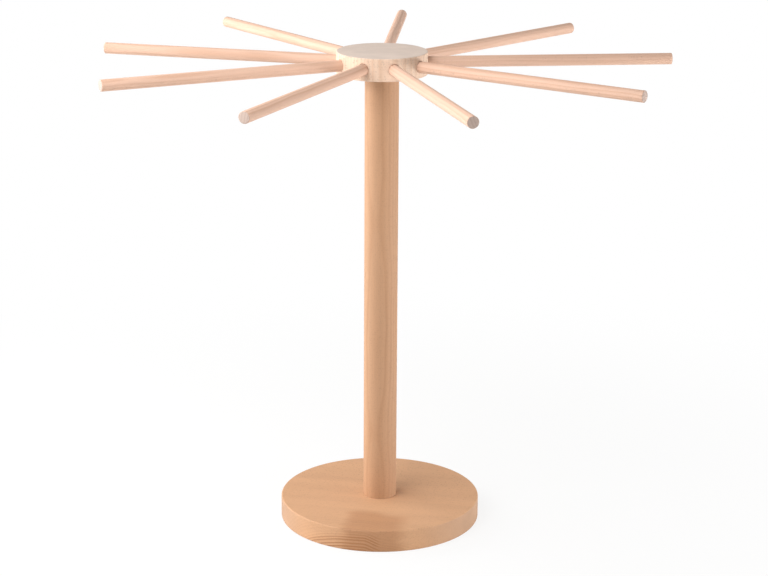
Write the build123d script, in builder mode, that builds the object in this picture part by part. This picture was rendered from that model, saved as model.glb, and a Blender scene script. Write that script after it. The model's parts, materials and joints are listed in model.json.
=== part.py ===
from build123d import *
import os
from math import cos, radians, sin, tan

# Pasta drying rack in beech: a turned base and column carry a hub with nine rods
# Millimetres, +Z up, front towards -Y, origin at the centre of the base's underside

# Rods, all cut from one stock of dowel and slid into the hub
rod_count = 9
rod_diameter = 8.0
rod_length = 189.0
rod_end_chamfer = 0.5
first_rod_bearing = 90.0  # degrees from +X, so the first rod points straight back

# Hub, a turned disc
hub_diameter = 64.0
hub_thickness = 16.0
hub_core_radius = 16.0  # wood left between the centre line and the sockets' shoulders
hub_top_edge_chamfer = 0.8
hub_bottom_edge_chamfer = 0.6

# Rod sockets, drilled into the hub's side with a twist drill
drill_point_angle = 118.0  # degrees across the drill's point
socket_clearance = 0.2  # how much wider a socket's radius is than a rod's, for an easy slide
rod_rest_gap = 0.05  # between a rod and the lower wall of the socket that it lies in
rod_seat_gap = 0.2  # between a pushed-in rod and its socket's shoulder

# Column, turned from one length of round stock
column_diameter = 24.0
column_length = 318.0  # from the foot to the shoulder under the hub
tenon_diameter = 18.0
tenon_length = 10.0
tenon_end_chamfer = 1.0
tenon_clearance = 0.05  # glue line round the tenon
tenon_end_gap = 0.5  # room for surplus glue over the tenon

# Base, a turned disc
base_diameter = 145.0
base_thickness = 16.0
base_top_edge_radius = 1.0
base_bottom_edge_chamfer = 1.0
foot_recess_depth = 4.0
foot_clearance = 0.1  # between the column's foot and the recess that takes it

# Countersunk wood screw that holds the base to the column's foot
screw_length = 45.0
screw_diameter = 5.0  # over the thread's crests
screw_head_diameter = 9.6
screw_head_rim = 0.3
screw_head_angle = 90.0  # degrees across the head's cone
screw_tip_length = 6.0
screw_head_sink = 0.6  # how far the head lies inside the underside
screw_clearance = 0.1  # round the screw, in the base and in the column
screw_seat_gap = 0.05  # between the head's cone and its seat
pilot_end_gap = 2.0  # past the screw's tip
cross_span = 4.6
cross_floor_span = 1.8
cross_width = 1.0
cross_depth = 2.4

# How far every cut runs past the face that it opens
cut_overrun = 1.0

# Radii
rod_radius = rod_diameter / 2
hub_radius = hub_diameter / 2
column_radius = column_diameter / 2
tenon_radius = tenon_diameter / 2
base_radius = base_diameter / 2
screw_radius = screw_diameter / 2
screw_head_radius = screw_head_diameter / 2

# Heights, from the underside up
foot_height = base_thickness - foot_recess_depth
shoulder_height = foot_height + column_length
socket_height = shoulder_height + hub_thickness / 2
rod_height = socket_height - socket_clearance + rod_rest_gap

# Rod sockets
socket_radius = rod_radius + socket_clearance
drill_point_length = socket_radius / tan(radians(drill_point_angle / 2))
rod_start = hub_core_radius + rod_seat_gap

# Screw
screw_seat_slope = tan(radians(screw_head_angle / 2))
screw_head_height = screw_head_rim + (screw_head_radius - screw_radius) / screw_seat_slope
screw_tip_height = screw_head_sink + screw_length
screw_mouth_radius = (
    screw_head_radius + (screw_head_sink + screw_head_rim) * screw_seat_slope + screw_seat_gap
)
pilot_radius = screw_radius + screw_clearance
pilot_depth = screw_tip_height + pilot_end_gap - foot_height

os.makedirs("parts", exist_ok=True)


# Base: a disc with a recess for the column's foot and a countersunk hole from below
with BuildPart() as base:
    with BuildSketch(Plane.XY):
        Circle(base_radius)
    extrude(amount=base_thickness)
    fillet(base.faces().sort_by(Axis.Z)[-1].edges(), base_top_edge_radius)
    chamfer(base.faces().sort_by(Axis.Z)[0].edges(), base_bottom_edge_chamfer)
    with BuildSketch(Plane.XY.offset(foot_height)):
        Circle(column_radius + foot_clearance)
    extrude(amount=foot_recess_depth + cut_overrun, mode=Mode.SUBTRACT)
    with Locations(-Plane.XY):
        CounterSinkHole(
            radius=screw_radius + screw_clearance,
            counter_sink_radius=screw_mouth_radius,
            counter_sink_angle=screw_head_angle,
        )
base.part.label = "base"
export_step(base.part, "parts/base.step")


# Column: a plain shaft, a tenon turned on its top and a pilot hole up its foot
with BuildPart() as column:
    with BuildSketch(Plane.XY.offset(foot_height)):
        Circle(column_radius)
    extrude(amount=column_length)
    with BuildSketch(Plane.XY.offset(shoulder_height)):
        Circle(tenon_radius)
    extrude(amount=tenon_length)
    chamfer(column.faces().sort_by(Axis.Z)[-1].edges(), tenon_end_chamfer)
    with BuildSketch(Plane.XY.offset(foot_height)):
        Circle(pilot_radius)
    extrude(amount=pilot_depth, mode=Mode.SUBTRACT)
column.part.label = "column"
export_step(column.part, "parts/column.step")


# The space that the drill clears for one socket, lying along +X with its point inwards
with BuildPart() as socket_space:
    with BuildSketch(Plane.XZ):
        with BuildLine():
            Polyline(
                (hub_core_radius - drill_point_length, socket_height),
                (hub_core_radius, socket_height + socket_radius),
                (hub_radius + cut_overrun, socket_height + socket_radius),
                (hub_radius + cut_overrun, socket_height),
                close=True,
            )
        make_face()
    revolve(axis=Axis((0, 0, socket_height), (1, 0, 0)))


# Hub: a disc with a ring of blind sockets in its side and a blind tenon hole below
with BuildPart() as hub:
    with BuildSketch(Plane.XY.offset(shoulder_height)):
        Circle(hub_radius)
    extrude(amount=hub_thickness)
    chamfer(hub.faces().sort_by(Axis.Z)[-1].edges(), hub_top_edge_chamfer)
    chamfer(hub.faces().sort_by(Axis.Z)[0].edges(), hub_bottom_edge_chamfer)
    with BuildSketch(Plane.XY.offset(shoulder_height)):
        Circle(tenon_radius + tenon_clearance)
    extrude(amount=tenon_length + tenon_end_gap, mode=Mode.SUBTRACT)
    with PolarLocations(0, rod_count, start_angle=first_rod_bearing):
        add(socket_space.part, mode=Mode.SUBTRACT)
hub.part.label = "hub"
export_step(hub.part, "parts/hub.step")


# Rods: each is a length of dowel on its own bearing, lying in its socket
for number in range(rod_count):
    bearing = radians(first_rod_bearing + number * 360 / rod_count)
    hub_centre = Plane(
        origin=(0, 0, rod_height), x_dir=(0, 0, 1), z_dir=(cos(bearing), sin(bearing), 0)
    )
    with BuildPart() as rod:
        with BuildSketch(hub_centre.offset(rod_start)):
            Circle(rod_radius)
        extrude(amount=rod_length)
        chamfer(rod.edges().filter_by(GeomType.CIRCLE), rod_end_chamfer)
    rod.part.label = f"rod_{number + 1}"
    export_step(rod.part, f"parts/rod_{number + 1}.step")


# Screw: driven from below through the base into the column, its thread as a plain shank
with BuildPart() as base_screw:
    with BuildSketch(Plane.XZ):
        with BuildLine():
            Polyline(
                (0, screw_head_sink),
                (screw_head_radius, screw_head_sink),
                (screw_head_radius, screw_head_sink + screw_head_rim),
                (screw_radius, screw_head_sink + screw_head_height),
                (screw_radius, screw_tip_height - screw_tip_length),
                (0, screw_tip_height),
                close=True,
            )
        make_face()
    revolve(axis=Axis.Z)
    for wing in (Plane.XZ, Plane.YZ):
        with BuildSketch(wing):
            with BuildLine():
                Polyline(
                    (-cross_span / 2, screw_head_sink),
                    (-cross_floor_span / 2, screw_head_sink + cross_depth),
                    (cross_floor_span / 2, screw_head_sink + cross_depth),
                    (cross_span / 2, screw_head_sink),
                    close=True,
                )
            make_face()
        extrude(amount=cross_width / 2, both=True, mode=Mode.SUBTRACT)
base_screw.part.label = "base_screw"
export_step(base_screw.part, "parts/base_screw.step")
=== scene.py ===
import json
import random
from math import atan2, cos, pi, radians, sin, tan

import bmesh
import bpy
from mathutils import Matrix, Vector

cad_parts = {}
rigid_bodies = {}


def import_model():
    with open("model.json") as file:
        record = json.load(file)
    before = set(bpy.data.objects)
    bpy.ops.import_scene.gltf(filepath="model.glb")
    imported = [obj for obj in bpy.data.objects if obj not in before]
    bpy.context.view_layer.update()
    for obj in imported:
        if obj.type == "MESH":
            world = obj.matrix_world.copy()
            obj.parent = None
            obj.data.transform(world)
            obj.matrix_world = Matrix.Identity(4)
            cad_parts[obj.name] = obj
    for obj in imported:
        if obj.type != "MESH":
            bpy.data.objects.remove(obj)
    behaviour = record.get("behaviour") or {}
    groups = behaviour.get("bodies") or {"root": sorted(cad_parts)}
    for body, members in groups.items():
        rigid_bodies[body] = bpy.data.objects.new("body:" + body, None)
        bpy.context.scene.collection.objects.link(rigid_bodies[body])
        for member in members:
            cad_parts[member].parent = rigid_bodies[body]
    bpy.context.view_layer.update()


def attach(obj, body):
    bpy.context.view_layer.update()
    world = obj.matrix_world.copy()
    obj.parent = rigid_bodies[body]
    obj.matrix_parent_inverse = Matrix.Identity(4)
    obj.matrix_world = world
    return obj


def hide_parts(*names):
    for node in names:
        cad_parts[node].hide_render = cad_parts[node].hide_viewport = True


# A pasta drying rack in bare beech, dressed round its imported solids
# Metres, +Z up, front towards -Y, as in the frame

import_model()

mm = 0.001

# Rods
rod_count = 9
rod_radius = 4.0 * mm
rod_length = 189.0 * mm
rod_start = 16.2 * mm  # from the rack's centre line to a rod's inner end
rod_end_ease = 0.5 * mm
first_rod_bearing = radians(90.0)

# Hub
hub_radius = 32.0 * mm
hub_thickness = 16.0 * mm
hub_top_ease = 0.8 * mm
hub_bottom_ease = 0.6 * mm
socket_radius = 4.2 * mm
socket_floor = 16.0 * mm  # from the centre line to a socket's shoulder
socket_mouth_ease = 0.15 * mm
drill_point_angle = radians(118.0)
rod_drop = 0.15 * mm  # how far a rod lies below its socket's middle
cutter_overrun = 1.0 * mm  # how far a cutter runs past the face that it opens

# Column
column_radius = 12.0 * mm
column_length = 318.0 * mm
column_edge_ease = 0.3 * mm
tenon_radius = 9.0 * mm
tenon_length = 10.0 * mm
tenon_end_ease = 1.0 * mm
tenon_clearance = 0.05 * mm
tenon_end_gap = 0.5 * mm

# Base
base_radius = 72.5 * mm
base_thickness = 16.0 * mm
base_top_ease = 1.0 * mm
base_bottom_ease = 1.0 * mm
foot_recess_depth = 4.0 * mm
foot_recess_ease = 0.1 * mm
foot_clearance = 0.1 * mm

# Screw
screw_tip_height = 45.6 * mm
screw_tip_length = 6.0 * mm
screw_head_sink = 0.6 * mm
screw_head_radius = 4.8 * mm
screw_head_rim = 0.3 * mm
screw_head_ease = 0.1 * mm
screw_shank_radius = 1.9 * mm
screw_shank_taper = 0.5 * mm  # where the shank narrows to the thread's root
screw_crest_radius = 2.5 * mm
screw_root_radius = 1.6 * mm
screw_thread_start = 17.0 * mm
screw_thread_pitch = 2.5 * mm
screw_bare_tip = 1.0 * mm  # past the thread's end
screw_crest_share = 0.22  # half the width of the thread's ridge, as a share of the pitch
screw_ring_gap = 0.25 * mm  # between the rings of corners that the thread is drawn on
screw_hole_radius = 2.6 * mm
countersink_radius = 5.75 * mm
pilot_depth = 35.6 * mm
cross_span = 4.6 * mm
cross_floor_span = 1.8 * mm
cross_width = 1.0 * mm
cross_depth = 2.4 * mm
cross_overrun = 0.2 * mm

# Where the pieces meet
foot_height = base_thickness - foot_recess_depth
shoulder_height = foot_height + column_length
socket_height = shoulder_height + hub_thickness / 2
rod_height = socket_height - rod_drop
bearings = [first_rod_bearing + number * 2 * pi / rod_count for number in range(rod_count)]

# How finely the round pieces are drawn: sides all round, and steps over an eased edge
base_sides = 256
column_sides = 160
hub_sides = 360
tenon_bore_sides = 120
socket_sides = 72
rod_sides = 96
screw_sides = 32
ease_steps = 6
sharpest_smooth_edge = radians(28)  # a face that turns away further keeps a crisp edge

# Beech's patterns, in millimetres along the trunk and across it
ring_wave = (90, 26)
ring_ripple = (22, 9)
ring_ripple_height = 0.8
clear_patch = (120, 35)  # in which the rings show more than elsewhere
broad_streak = (170, 14)
dark_patch_fringe = (30, 6)

# Real fibres are about 0.03 mm wide, ray flecks 0.2 mm wide and sanding marks 0.1 mm apart: too
# fine to show in the render, so all three are drawn as coarse as they need to be seen
fibre_size = (24, 0.8)
fleck_size = (1.7, 0.5, 8.0)  # along the trunk, round it and out from the pith
sanding_mark_gap = 0.4 * mm
grain_relief = 0.03 * mm
fleck_dip = 0.3  # as a share of the relief

# A year's ring: where late wood begins and is darkest, as shares of its width, how faint the
# faintest rings are, and how often and how far good and poor years change the width
late_wood_begins = 0.1
late_wood_darkest = 0.85
faintest_rings = 0.5
weather_changes = 0.4
weather_effect = 0.7

# How squarely a surface cuts the trunk where end grain begins to show and where it is all end grain
end_grain_begins = 0.55
end_grain_full = 0.98

# How much beech varies in lightness from fibre to fibre and from one broad streak to the next, and
# how rough it is
fibre_contrast = 0.14
streak_contrast = 0.2
sanded_roughness = 0.7
fibre_roughness = 0.2
end_grain_roughness = 0.1

# The darker patch's border, in millimetres: half its width, how ragged it is along the trunk, and
# how slowly it comes and goes there
dark_patch_border = 4
dark_patch_ragged = 12.0
dark_patch_comes = 12
dark_patch_goes = 16

# Zinc plating's crystals are really about 0.05 mm across, and are drawn coarser so that they show
zinc_crystal = 0.8 * mm

# Studio
middle_of_rack = Vector((0, 0, 0.18))
fill_light = 0.35  # the even light from all round, where the background shows white at 1
floor_radius = 4.0
shadow_near = 0.1  # how far from the rack the floor shows its shadow best
shadow_far = 0.6  # and where the floor is as white as the background
shadow_share = 0.15


# Shapes


def eased(corners):
    """Rounds an outline's corners, each given as radius, height and the radius of its rounding"""
    points = []
    for index, (radius, height, ease) in enumerate(corners):
        corner = Vector((radius, height))
        if not ease:
            points.append(corner)
            continue
        back = (Vector(corners[index - 1][:2]) - corner).normalized()
        ahead = (Vector(corners[(index + 1) % len(corners)][:2]) - corner).normalized()
        half = back.angle(ahead) / 2
        centre = corner + (back + ahead).normalized() * ease / sin(half)
        start = corner + back * ease / tan(half) - centre
        end = corner + ahead * ease / tan(half) - centre
        points += [
            centre + start.slerp(end, step / ease_steps).normalized() * ease
            for step in range(ease_steps + 1)
        ]
    return points


def finished(name, shape):
    """Keeps a shape as a mesh"""
    mesh = bpy.data.meshes.new(name)
    shape.to_mesh(mesh)
    shape.free()
    return mesh


def turned(name, outline, sides):
    """Turns an outline round the Z axis into a closed mesh, like work on a lathe"""
    shape = bmesh.new()
    rings = [
        [
            shape.verts.new(
                (radius * cos(2 * pi * side / sides), radius * sin(2 * pi * side / sides), height)
            )
            for side in range(sides if radius > 0 else 1)
        ]
        for radius, height in outline
    ]
    bored_through = len(rings[0]) > 1
    for near, far in zip(rings, rings[1:] + rings[:1] if bored_through else rings[1:]):
        for side in range(sides):
            corners = (
                near[side % len(near)],
                near[(side + 1) % sides % len(near)],
                far[(side + 1) % sides % len(far)],
                far[side % len(far)],
            )
            shape.faces.new(dict.fromkeys(corners))
    bmesh.ops.recalc_face_normals(shape, faces=shape.faces)
    return finished(name, shape)


def hull(name, corners):
    """The smallest solid that holds the corners"""
    shape = bmesh.new()
    bmesh.ops.convex_hull(shape, input=[shape.verts.new(corner) for corner in corners])
    return finished(name, shape)


def put_in_scene(name, data):
    """Makes an object of a mesh, light or camera and puts it in the scene"""
    thing = bpy.data.objects.new(name, data)
    bpy.context.scene.collection.objects.link(thing)
    return thing


def cut(mesh, tools):
    """Cuts the tools' meshes out of a mesh"""
    work = put_in_scene("work", mesh)
    cutters = bpy.data.collections.new("cutters")
    bpy.context.scene.collection.children.link(cutters)
    for tool in tools:
        cutters.objects.link(bpy.data.objects.new("cutter", tool))
    difference = work.modifiers.new("cut", "BOOLEAN")
    difference.operation = "DIFFERENCE"
    difference.operand_type = "COLLECTION"
    difference.collection = cutters
    difference.solver = "EXACT"
    evaluated = work.evaluated_get(bpy.context.evaluated_depsgraph_get())
    result = bpy.data.meshes.new_from_object(evaluated)
    result.name = mesh.name
    for cutter in [work, *cutters.objects]:
        bpy.data.objects.remove(cutter)
    bpy.data.collections.remove(cutters)
    return result


def along(bearing, height):
    """Lays what was turned round the Z axis level, from the centre line out along a bearing"""
    return (
        Matrix.Translation((0, 0, height))
        @ Matrix.Rotation(bearing, 4, "Z")
        @ Matrix.Rotation(pi / 2, 4, "Y")
    )


def fit(name, mesh, material, body, node):
    """Puts a finished mesh in the rack, where it moves with its body and stands for its solid"""
    mesh.materials.clear()
    mesh.materials.append(material)
    mesh.shade_smooth()
    mesh.set_sharp_from_angle(angle=sharpest_smooth_edge)
    piece = put_in_scene(name, mesh)
    normals = piece.modifiers.new("flat faces stay flat", "WEIGHTED_NORMAL")
    normals.keep_sharp = True
    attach(piece, body)
    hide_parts(node)


# Materials


def colour(code):
    """An sRGB hex colour as linear values"""
    levels = [int(code[place : place + 2], 16) / 255 for place in (1, 3, 5)]
    return tuple(
        level / 12.92 if level <= 0.04045 else ((level + 0.055) / 1.055) ** 2.4 for level in levels
    ) + (1.0,)


def add_node(tree, kind, fed=None, give=0, **settings):
    """Adds a node, feeds its inputs with values or other nodes' outputs, and gives one output"""
    node = tree.nodes.new("ShaderNode" + kind)
    for setting, value in settings.items():
        setattr(node, setting, value)
    for socket, value in (fed or {}).items():
        if isinstance(value, bpy.types.NodeSocket):
            tree.links.new(value, node.inputs[socket])
        else:
            node.inputs[socket].default_value = value
    return node.outputs[give] if node.outputs else node


def bare(owner):
    """The empty node tree of a new material or world"""
    owner.use_nodes = True
    owner.node_tree.nodes.clear()
    return owner.node_tree


def board(centre, turn, roll, pith_distance, shift=0.0):
    """Where a piece was cut from the tree: X runs up the trunk and Y from the pith to the piece"""
    return (
        Matrix.Translation(centre)
        @ turn
        @ Matrix.Rotation(roll, 4, "X")
        @ Matrix.Translation((-shift, -pith_distance, 0))
    )


def beech(
    name,
    cut_from,
    light,
    dark,
    ring_width,
    wander,
    turning=0.0,
    ends=(0.2, 0.1),
    flecks=0.12,
    bold=None,
    swerve=None,
    dark_patch=None,
):
    """Bare beech, sanded and unfinished: a pinkish tan with faint growth rings, fine fibre streaks
    and short ray flecks, and no more shine than clean wood has. Lengths are in millimetres.
    wander is how far the rings stray, and turning and flecks are how strongly the marks of the
    lathe and the rays show. ends is how much darker and how much greyer end grain is drawn than
    the long grain: the darkness is partly end grain's own and partly painted shade, and the
    greyness is a painted sheen. bold is the distances from the pith where strong rings start to
    fade and have faded, and what is left of them; swerve is where along the trunk they start and
    end to swing aside, and how far they do. heart is how far from the pith the wood is darker,
    where along the trunk that starts and ends, and how dark it is."""
    material = bpy.data.materials.new(name)
    tree = bare(material)
    pith_distance = (cut_from.inverted() @ Vector((0, 0, 0))).yz.length / mm

    place = add_node(tree, "TexCoord", give="Object")
    trunk = add_node(
        tree,
        "Mapping",
        {
            "Vector": place,
            "Location": cut_from.to_translation(),
            "Rotation": cut_from.to_euler(),
            "Scale": (mm, mm, mm),
        },
        vector_type="TEXTURE",
    )

    def maths(operation, first, second=0.0, third=0.0):
        return add_node(tree, "Math", {0: first, 1: second, 2: third}, operation=operation)

    def spread(value, low, high, start=0.0, end=1.0):
        return add_node(
            tree,
            "MapRange",
            {"Value": value, 1: low, 2: high, 3: start, 4: end},
            interpolation_type="SMOOTHSTEP",
        )

    def streaks(size, detail=0.0):
        length, width = size
        stretched = add_node(
            tree,
            "VectorMath",
            {0: trunk, 1: (1 / length, 1 / width, 1 / width)},
            operation="MULTIPLY",
        )
        return add_node(tree, "TexNoise", {"Vector": stretched, "Scale": 1.0, "Detail": detail})

    def varied(value, amount, middle):
        return maths("MULTIPLY_ADD", maths("SUBTRACT", value, 0.5), amount, middle)

    # Growth rings: each darkens slowly to a thin line of late wood and starts light again
    across = add_node(tree, "VectorMath", {0: trunk, 1: (0, 1, 1)}, operation="MULTIPLY")
    reach = add_node(tree, "VectorMath", {0: across}, give="Value", operation="LENGTH")
    length = add_node(tree, "SeparateXYZ", {0: trunk}, give=0)
    radius = maths("MULTIPLY_ADD", streaks(ring_wave, detail=1.0), wander, reach)
    radius = maths("MULTIPLY_ADD", streaks(ring_ripple), ring_ripple_height, radius)
    if swerve:
        start, end, aside = swerve
        radius = maths("ADD", radius, spread(length, start, end, 0.0, aside))
    years = maths("DIVIDE", radius, ring_width)

    # Good and poor years make wide and narrow rings
    weather = maths("MULTIPLY", years, weather_changes)
    uneven = add_node(tree, "TexNoise", {"W": weather, "Scale": 1.0}, noise_dimensions="1D")
    season = maths("FRACT", maths("MULTIPLY_ADD", uneven, weather_effect, years))
    summer = maths("POWER", spread(season, late_wood_begins, late_wood_darkest), 2.0)
    late_wood = maths("MULTIPLY", summer, spread(season, late_wood_darkest, 1.0, 1.0, 0.0))

    # Rings show more in some places than in others
    shown = spread(streaks(clear_patch), 0.35, 0.65, faintest_rings, 1.0)
    if bold:
        near, far, rest = bold
        shown = maths("MULTIPLY", shown, spread(reach, near, far, 1.0, rest))
        if swerve:
            shown = maths("MULTIPLY", shown, spread(length, (start + end) / 2, end, 1.0, rest))

    # End grain, where the surface cuts across the trunk
    grain = (cut_from.to_3x3() @ Vector((1, 0, 0))).normalized()
    facing = add_node(
        tree,
        "VectorMath",
        {0: add_node(tree, "TexCoord", give="Normal"), 1: grain},
        give="Value",
        operation="DOT_PRODUCT",
    )
    end_grain = spread(maths("ABSOLUTE", facing), end_grain_begins, end_grain_full)
    end_darkness_and_shade, painted_sheen = ends

    # Ray flecks: thin sheets that run out from the pith, seen as short dashes on the long grain
    sides = add_node(tree, "SeparateXYZ", {0: trunk}, give=1)
    depth = add_node(tree, "SeparateXYZ", {0: trunk}, give=2)
    round_pith = maths("MULTIPLY", maths("ARCTAN2", depth, sides), pith_distance)
    sheets = add_node(
        tree,
        "CombineXYZ",
        {
            axis: maths("DIVIDE", distance, size)
            for axis, (distance, size) in enumerate(zip((length, round_pith, reach), fleck_size))
        },
    )
    cells = {"Vector": sheets, "Scale": 1.0}
    nearest = add_node(tree, "TexVoronoi", cells)
    chance = add_node(tree, "SeparateColor", {0: add_node(tree, "TexVoronoi", cells, give=1)})
    fleck = maths("MULTIPLY", spread(nearest, 0.15, 0.5, 1.0, 0.0), spread(chance, 0.3, 0.6))
    fleck = maths("MULTIPLY", fleck, maths("SUBTRACT", 1.0, end_grain))

    # Colour: end grain is drawn darker and greyer than the long grain. The darkness is partly end
    # grain's own and partly painted shade, and the greyness is a painted sheen
    fibre = streaks(fibre_size, detail=2.0)
    tone = streaks(broad_streak, detail=1.0)
    rings = maths("MULTIPLY", late_wood, shown)
    # The wood is darker within a distance from the pith, over a stretch along the trunk
    if dark_patch:
        reaches, first, last, darkness = dark_patch
        upwards = maths("MULTIPLY_ADD", streaks(dark_patch_fringe, detail=2.0), dark_patch_ragged, length)
        inside = spread(radius, reaches - dark_patch_border, reaches + dark_patch_border, darkness, 0.0)
        inside = maths("MULTIPLY", inside, spread(upwards, first, first + dark_patch_comes))
        inside = maths("MULTIPLY", inside, spread(upwards, last, last + dark_patch_goes, 1.0, 0.0))
        rings = maths("ADD", rings, inside)
    wood = add_node(
        tree, "Mix", {0: rings, 6: colour(light), 7: colour(dark)}, give=2, data_type="RGBA"
    )
    wood = add_node(
        tree,
        "HueSaturation",
        {"Color": wood, "Saturation": maths("MULTIPLY_ADD", end_grain, -painted_sheen, 1.0)},
    )
    shade = varied(fibre, fibre_contrast, 1.0)
    shade = varied(tone, -streak_contrast, shade)
    shade = maths("MULTIPLY_ADD", fleck, -flecks, shade)
    shade = maths("MULTIPLY_ADD", end_grain, -end_darkness_and_shade, shade)
    shaded = add_node(tree, "VectorMath", {0: wood, "Scale": shade}, operation="SCALE")

    # Surface: fibres stand a little proud of the flecks, and end grain is the roughest
    dull = varied(fibre, fibre_roughness, sanded_roughness)
    dull = maths("MULTIPLY_ADD", end_grain, end_grain_roughness, dull)
    height = maths("MULTIPLY_ADD", fleck, -fleck_dip, fibre)
    if turning:
        # Sanding on the lathe leaves fine uneven rings round the piece's own axis
        lathe = add_node(tree, "VectorMath", {0: place, 1: (1, 1, 0)}, operation="MULTIPLY")
        out = add_node(tree, "VectorMath", {0: lathe}, give="Value", operation="LENGTH")
        up = add_node(tree, "SeparateXYZ", {0: place}, give=2)
        sanded = maths("DIVIDE", maths("ADD", out, up), sanding_mark_gap)
        marks = add_node(tree, "TexNoise", {"W": sanded, "Scale": 1.0}, noise_dimensions="1D")
        height = maths("MULTIPLY_ADD", marks, turning, height)
    bump = add_node(tree, "Bump", {"Height": height, "Distance": grain_relief, "Strength": 1.0})
    surface = add_node(
        tree,
        "BsdfPrincipled",
        {"Base Color": shaded, "Roughness": dull, "Normal": bump, "IOR": 1.5},
    )
    add_node(tree, "OutputMaterial", {"Surface": surface})
    return material


def zinc_plated_steel():
    """Steel with bright zinc plating: a cool grey metal with a soft, slightly uneven gleam"""
    material = bpy.data.materials.new("zinc_plated_steel")
    tree = bare(material)
    place = add_node(tree, "TexCoord", give="Object")
    crystals = add_node(
        tree, "TexNoise", {"Vector": place, "Scale": 1 / zinc_crystal, "Detail": 3.0}
    )
    dull = add_node(tree, "MapRange", {"Value": crystals, 1: 0.3, 2: 0.7, 3: 0.26, 4: 0.42})
    plating = add_node(
        tree,
        "BsdfPrincipled",
        {"Base Color": colour("#C9CCD1"), "Metallic": 1.0, "Roughness": dull},
    )
    add_node(tree, "OutputMaterial", {"Surface": plating})
    return material


# Pieces


def make_base():
    """A turned disc with a recess for the column's foot and a countersunk hole from below"""
    recess_radius = column_radius + foot_clearance
    seat = countersink_radius - screw_hole_radius
    outline = eased(
        [
            (base_radius, base_thickness, base_top_ease),
            (recess_radius, base_thickness, foot_recess_ease),
            (recess_radius, foot_height, 0),
            (screw_hole_radius, foot_height, 0),
            (screw_hole_radius, seat, 0),
            (countersink_radius, 0, 0),
            (base_radius, 0, base_bottom_ease),
        ]
    )
    # The disc was cut from beside the pith, which ran past its front edge and 40 mm below it
    pith = Vector((102.5, 40))
    grain = board(
        (0, 0, 0), Matrix.Rotation(radians(-7), 4, "Z"), atan2(pith.y, pith.x), pith.length * mm
    )
    wood = beech(
        "beech_turned_base",
        grain,
        "#CB9D77",
        "#AA764E",
        ring_width=1.85,
        wander=1.5,
        turning=0.15,
        flecks=0.15,
        bold=(57, 62, 0.12),
        swerve=(2, 16, 3),
        dark_patch=(87, -12, 26, 0.56),
    )
    disc = turned("turned_base", outline, base_sides)
    fit("turned_base", disc, wood, "stand", "base")


def make_column():
    """A plain turned shaft with a tenon on its top and a pilot hole up its foot"""
    pilot_end = foot_height + pilot_depth
    tenon_end = shoulder_height + tenon_length
    outline = eased(
        [
            (0, pilot_end, 0),
            (screw_hole_radius, pilot_end, 0),
            (screw_hole_radius, foot_height, 0),
            (column_radius, foot_height, column_edge_ease),
            (column_radius, shoulder_height, column_edge_ease),
            (tenon_radius, shoulder_height, 0),
            (tenon_radius, tenon_end, tenon_end_ease),
            (0, tenon_end, 0),
        ]
    )
    grain = board((0, 0, 0), Matrix.Rotation(-pi / 2, 4, "Y"), radians(165), 65 * mm)
    wood = beech(
        "beech_turned_column",
        grain,
        "#C19572",
        "#B88A66",
        ring_width=2.6,
        wander=6.0,
        turning=0.15,
    )
    shaft = turned("turned_column", outline, column_sides)
    fit("turned_column", shaft, wood, "stand", "column")


def make_hub():
    """A turned disc, bored for the tenon from below and drilled all round for the rods"""
    blank = turned(
        "bored_hub",
        eased(
            [
                (0, shoulder_height, 0),
                (hub_radius, shoulder_height, hub_bottom_ease),
                (hub_radius, shoulder_height + hub_thickness, hub_top_ease),
                (0, shoulder_height + hub_thickness, 0),
            ]
        ),
        hub_sides,
    )
    bore_radius = tenon_radius + tenon_clearance
    bore_start = shoulder_height - cutter_overrun
    bore_end = shoulder_height + tenon_length + tenon_end_gap
    bore = turned(
        "tenon_bore",
        [(0, bore_start), (bore_radius, bore_start), (bore_radius, bore_end), (0, bore_end)],
        tenon_bore_sides,
    )
    point = socket_radius / tan(drill_point_angle / 2)
    mouth = hub_radius - socket_mouth_ease
    tools = [bore]
    for bearing in bearings:
        drill = turned(
            "drill",
            [
                (0, socket_floor - point),
                (socket_radius, socket_floor),
                (socket_radius, mouth),
                (socket_radius + cutter_overrun, mouth + cutter_overrun),
                (0, mouth + cutter_overrun),
            ],
            socket_sides,
        )
        drill.transform(along(bearing, socket_height))
        tools.append(drill)
    # The hub's grain stands upright, so its top is end grain, which is drawn darker and greyer:
    # painted shade and a painted sheen, for a top that gets less light and shows a white gloss
    grain = board(
        (0, 0, socket_height), Matrix.Rotation(-pi / 2, 4, "Y"), radians(20), 70 * mm, 400 * mm
    )
    wood = beech(
        "beech_turned_hub",
        grain,
        "#E5C8B1",
        "#DCBA9F",
        ring_width=2.8,
        wander=6.0,
        turning=0.15,
        ends=(0.16, 0.35),
        flecks=0.3,
    )
    fit("bored_hub", cut(blank, tools), wood, "stand", "hub")


def make_rods():
    """Nine lengths of dowel with eased ends, each lying in its socket"""
    rod_end = rod_start + rod_length
    outline = eased(
        [
            (0, rod_start, 0),
            (rod_radius, rod_start, rod_end_ease),
            (rod_radius, rod_end, rod_end_ease),
            (0, rod_end, 0),
        ]
    )
    # Each length came from its own part of the tree
    chance = random.Random(5)
    for number, bearing in enumerate(bearings, 1):
        dowel = turned(f"dowel_{number}", outline, rod_sides)
        dowel.transform(along(bearing, rod_height))
        grain = board(
            (0, 0, rod_height),
            Matrix.Rotation(bearing, 4, "Z"),
            chance.uniform(0, 2 * pi),
            chance.uniform(30, 90) * mm,
            chance.uniform(0, 2000) * mm,
        )
        wood = beech(
            f"beech_dowel_{number}",
            grain,
            "#DBB59E",
            "#CFA68D",
            ring_width=2.2,
            wander=4.0,
            # Darker, greyer ends: painted shade where lamps face them, and a painted grey sheen
            ends=(0.24, 0.35),
        )
        fit(f"dowel_{number}", dowel, wood, f"rod_{number}", f"rod_{number}")


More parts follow.
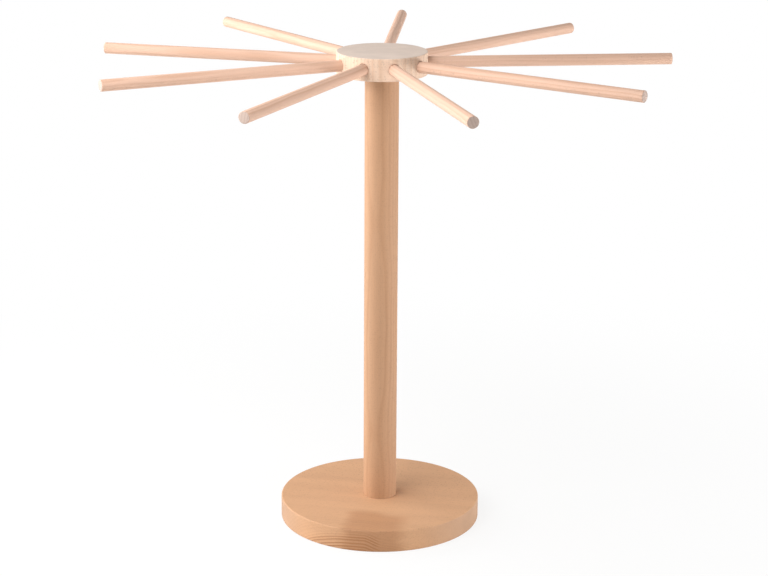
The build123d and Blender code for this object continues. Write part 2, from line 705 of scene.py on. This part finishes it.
def make_screw():
    """A countersunk wood screw with a cross recess, driven from below into the column"""
    head_height = screw_head_sink + screw_head_rim + screw_head_radius - screw_shank_radius
    thread_end = screw_tip_height - screw_bare_tip
    thread_length = thread_end - screw_thread_start
    gaps = int(thread_length / screw_ring_gap)
    mesh = turned(
        "wood_screw",
        [
            (0, screw_head_sink),
            (screw_head_radius - screw_head_ease, screw_head_sink),
            (screw_head_radius, screw_head_sink + screw_head_ease),
            (screw_head_radius, screw_head_sink + screw_head_rim),
            (screw_shank_radius, head_height),
            (screw_shank_radius, screw_thread_start - screw_shank_taper),
            *(
                (screw_root_radius, screw_thread_start + thread_length * ring / gaps)
                for ring in range(gaps + 1)
            ),
            (0, screw_tip_height),
        ],
        screw_sides,
    )
    # The thread: each corner moves out or in as the ridge winds past it
    for corner in mesh.vertices:
        x, y, z = corner.co
        if not screw_thread_start <= z <= thread_end:
            continue
        turn = (z / screw_thread_pitch - atan2(y, x) / (2 * pi)) % 1
        ridge = max(0.0, 1 - abs(turn - 0.5) / screw_crest_share)
        taper = min(1.0, (screw_tip_height - z) / screw_tip_length)
        run_in = min(1.0, (z - screw_thread_start) / screw_thread_pitch)
        radius = taper * (
            screw_root_radius + (screw_crest_radius - screw_root_radius) * ridge * run_in
        )
        corner.co.xy = Vector((x, y)).normalized() * radius
    wings = []
    for quarter in (0, pi / 2):
        wing = hull(
            "wing",
            [
                (sign * span / 2, side * cross_width / 2, height)
                for sign in (-1, 1)
                for side in (-1, 1)
                for span, height in (
                    (cross_span, screw_head_sink - cross_overrun),
                    (cross_floor_span, screw_head_sink + cross_depth),
                )
            ],
        )
        wing.transform(Matrix.Rotation(quarter, 4, "Z"))
        wings.append(wing)
    screw = cut(mesh, wings)
    fit("wood_screw", screw, zinc_plated_steel(), "stand", "base_screw")


# Studio


def seen_or_reflected(tree):
    """1 for what is looked at, straight or in gloss or glass, and 0 for the light that falls"""
    seen = add_node(tree, "LightPath", give="Is Camera Ray")
    mirrored = add_node(tree, "LightPath", give="Is Glossy Ray")
    refracted = add_node(tree, "LightPath", give="Is Transmission Ray")
    either = add_node(tree, "Math", {0: seen, 1: mirrored}, operation="MAXIMUM")
    return add_node(tree, "Math", {0: either, 1: refracted}, operation="MAXIMUM")


def make_floor():
    """A pale floor that keeps the rack's shadow near it and fades into the white background"""
    shape = bmesh.new()
    bmesh.ops.create_circle(shape, cap_ends=True, segments=128, radius=floor_radius)
    mesh = finished("floor", shape)
    material = bpy.data.materials.new("matt_white_paper")
    tree = bare(material)
    paper = add_node(tree, "BsdfDiffuse", {"Color": colour("#F2F1EF")})
    glow = add_node(tree, "Emission", {"Color": (1, 1, 1, 1), "Strength": 1.0})
    place = add_node(tree, "TexCoord", give="Object")
    away = add_node(tree, "VectorMath", {0: place}, give="Value", operation="LENGTH")
    fade = add_node(
        tree,
        "MapRange",
        {"Value": away, 1: shadow_near, 2: shadow_far, 3: 1 - shadow_share, 4: 1.0},
        interpolation_type="SMOOTHSTEP",
    )
    share = add_node(tree, "Math", {0: seen_or_reflected(tree), 1: fade}, operation="MULTIPLY")
    blend = add_node(tree, "MixShader", {0: share, 1: paper, 2: glow})
    add_node(tree, "OutputMaterial", {"Surface": blend})
    mesh.materials.append(material)
    put_in_scene("floor", mesh)


def make_background():
    """White behind the rack and in its reflections, and a lower, even light from all round"""
    world = bpy.data.worlds.new("studio")
    bpy.context.scene.world = world
    tree = bare(world)
    strength = add_node(
        tree, "MapRange", {"Value": seen_or_reflected(tree), 1: 0.0, 2: 1.0, 3: fill_light, 4: 1.0}
    )
    white = add_node(tree, "Background", {"Color": (1, 1, 1, 1), "Strength": strength})
    add_node(tree, "OutputWorld", {"Surface": white})


def softbox(name, side, rise, distance, size, power):
    """A square soft light that points at the rack, given as degrees to the right of the front,
    degrees above the level, metres away, metres across and watts"""
    light = bpy.data.lights.new(name, "AREA")
    light.shape = "SQUARE"
    light.size = size
    light.energy = power
    across, up = radians(side), radians(rise)
    away = Vector((sin(across) * cos(up), -cos(across) * cos(up), sin(up)))
    lamp = put_in_scene(name, light)
    lamp.location = middle_of_rack + away * distance
    lamp.rotation_euler = away.to_track_quat("Z", "Y").to_euler()
    lamp.visible_camera = False


def make_camera():
    """The photograph's viewpoint: low, a little to the right, with a long lens"""
    lens = bpy.data.cameras.new("camera")
    lens.sensor_width = 36.0
    lens.lens = 99.95
    lens.clip_start, lens.clip_end = 0.05, 50.0
    heading, downwards, lean = 4.201, 16.577, 0.332  # degrees
    camera = put_in_scene("camera", lens)
    camera.matrix_world = (
        Matrix.Translation((0.109765, -1.463341, 0.610736))
        @ Matrix.Rotation(radians(heading), 4, "Z")
        @ Matrix.Rotation(radians(90 - downwards), 4, "X")
        @ Matrix.Rotation(radians(lean), 4, "Z")
    )
    bpy.context.scene.camera = camera


make_base()
make_column()
make_hub()
make_rods()
make_screw()
make_floor()
make_background()
softbox("key", side=-40, rise=45, distance=0.8, size=0.6, power=5.5)
softbox("left", side=-100, rise=10, distance=0.8, size=0.8, power=7.5)
softbox("right", side=87, rise=-8, distance=0.87, size=0.3, power=6.6)
make_camera()
bpy.context.scene.view_settings.view_transform = "Standard"
